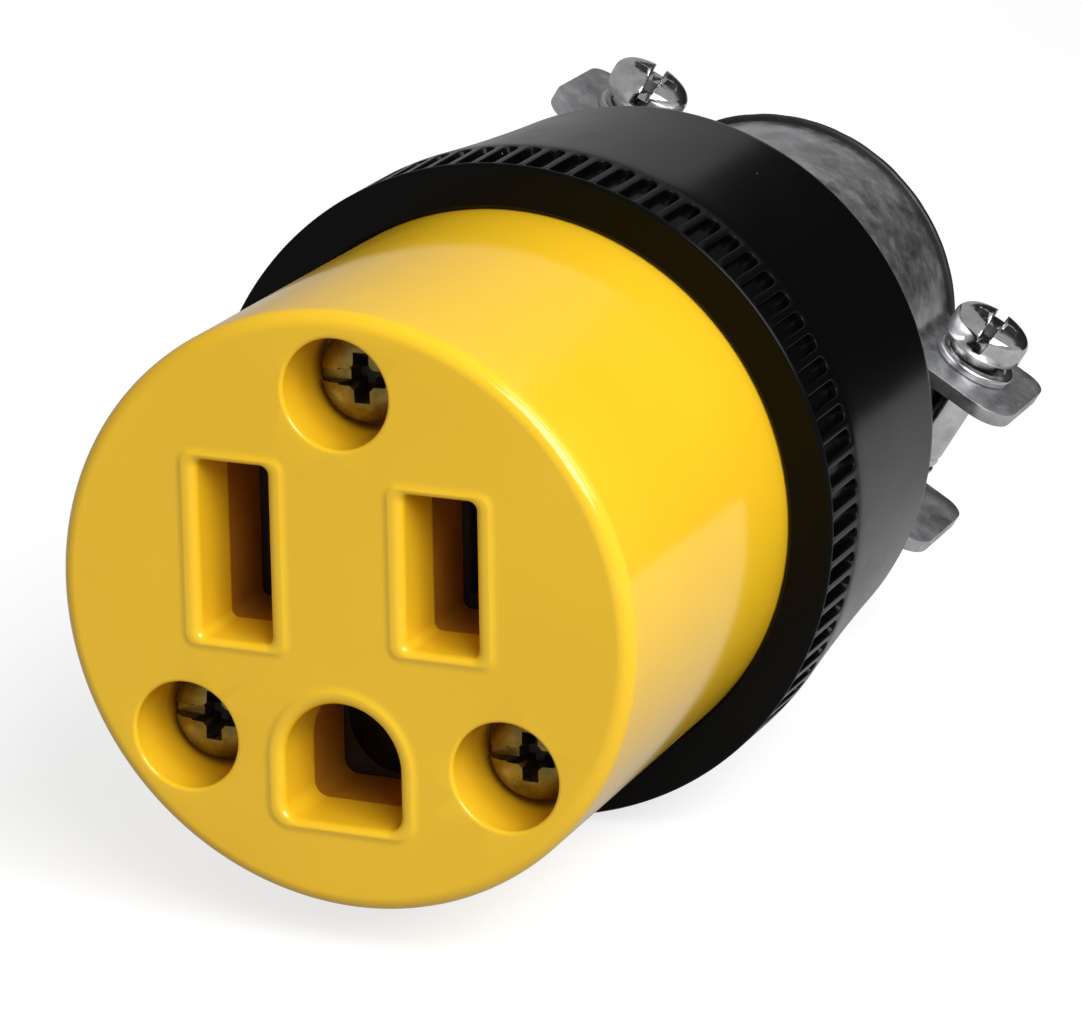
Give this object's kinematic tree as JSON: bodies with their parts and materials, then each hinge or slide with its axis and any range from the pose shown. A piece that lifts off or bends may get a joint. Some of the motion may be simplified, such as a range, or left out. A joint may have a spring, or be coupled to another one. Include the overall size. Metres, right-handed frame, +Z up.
{
  "type": "cable connector",
  "caption": "Round female cable connector with upright blade slots and a ground hole, a ribbed rear cover and a metal cord clamp standing open.",
  "frame": {"origin": "centre of the bounding box at its lowest point, where the rear cover rests", "axes": "+Y along the connector's axis from the face to the cord clamp, +Z up, +X to the right as the face is looked at, so the face looks toward -Y"},
  "size_m": [0.0406, 0.0676, 0.0406],
  "materials": {
    "front_body": "glossy moulded",
    "rear_cover": "glossy moulded",
    "guide_plate": "moulded",
    "contact_carrier": "dull moulded",
    "contacts": "plain",
    "wire_plates": "plated",
    "terminal_screws": "plain",
    "assembly_screws": "dull plated",
    "inserts": "plain",
    "clamp_sheet": "dull zinc plated",
    "edge_guards": "dull",
    "clamp_washers": "bright plated",
    "clamp_screws": "bright plated"
  },
  "bodies": {
    "root": {"front_body": "front_body", "rear_cover": "rear_cover", "guide_plate": "guide_plate", "contact_carrier": "contact_carrier", "neutral_contact": "contacts", "hot_contact": "contacts", "ground_contact": "contacts", "neutral_wire_plate": "wire_plates", "hot_wire_plate": "wire_plates", "ground_wire_plate": "wire_plates", "neutral_terminal_screw": "terminal_screws", "hot_terminal_screw": "terminal_screws", "ground_terminal_screw": "terminal_screws", "assembly_screw_top": "assembly_screws", "assembly_screw_left": "assembly_screws", "assembly_screw_right": "assembly_screws", "threaded_insert_top": "inserts", "threaded_insert_left": "inserts", "threaded_insert_right": "inserts", "clamp_upper": "clamp_sheet", "clamp_lower": "clamp_sheet", "edge_guard_upper": "edge_guards", "edge_guard_lower": "edge_guards", "clamp_washer_left": "clamp_washers", "clamp_washer_right": "clamp_washers", "clamp_screw_left": "clamp_screws", "clamp_screw_right": "clamp_screws"}
  },
  "joints": []
}
